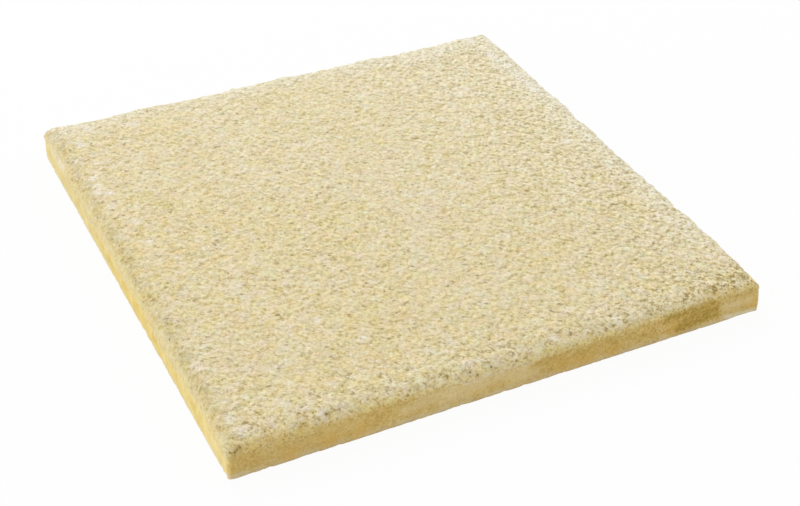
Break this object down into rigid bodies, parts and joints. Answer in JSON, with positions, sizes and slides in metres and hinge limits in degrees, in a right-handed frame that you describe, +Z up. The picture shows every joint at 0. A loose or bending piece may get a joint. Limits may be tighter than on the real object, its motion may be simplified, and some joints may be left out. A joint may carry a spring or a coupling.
{
  "type": "paving slab",
  "caption": "Square buff concrete paving slab with a sandy wearing face, a worn rounded arris and smooth cast sides.",
  "frame": {"origin": "middle of the bed face, the flat underside that lies on the ground", "axes": "+Z up through the slab to its wearing face, X and Y square to its four sides"},
  "size_m": [0.45, 0.45, 0.032],
  "materials": {
    "buff_concrete": "matt buff concrete: sandy exposed grain on the wearing face and arris, smooth from the mould on the sides"
  },
  "bodies": {
    "root": {"paving_slab": "buff_concrete"}
  },
  "joints": []
}
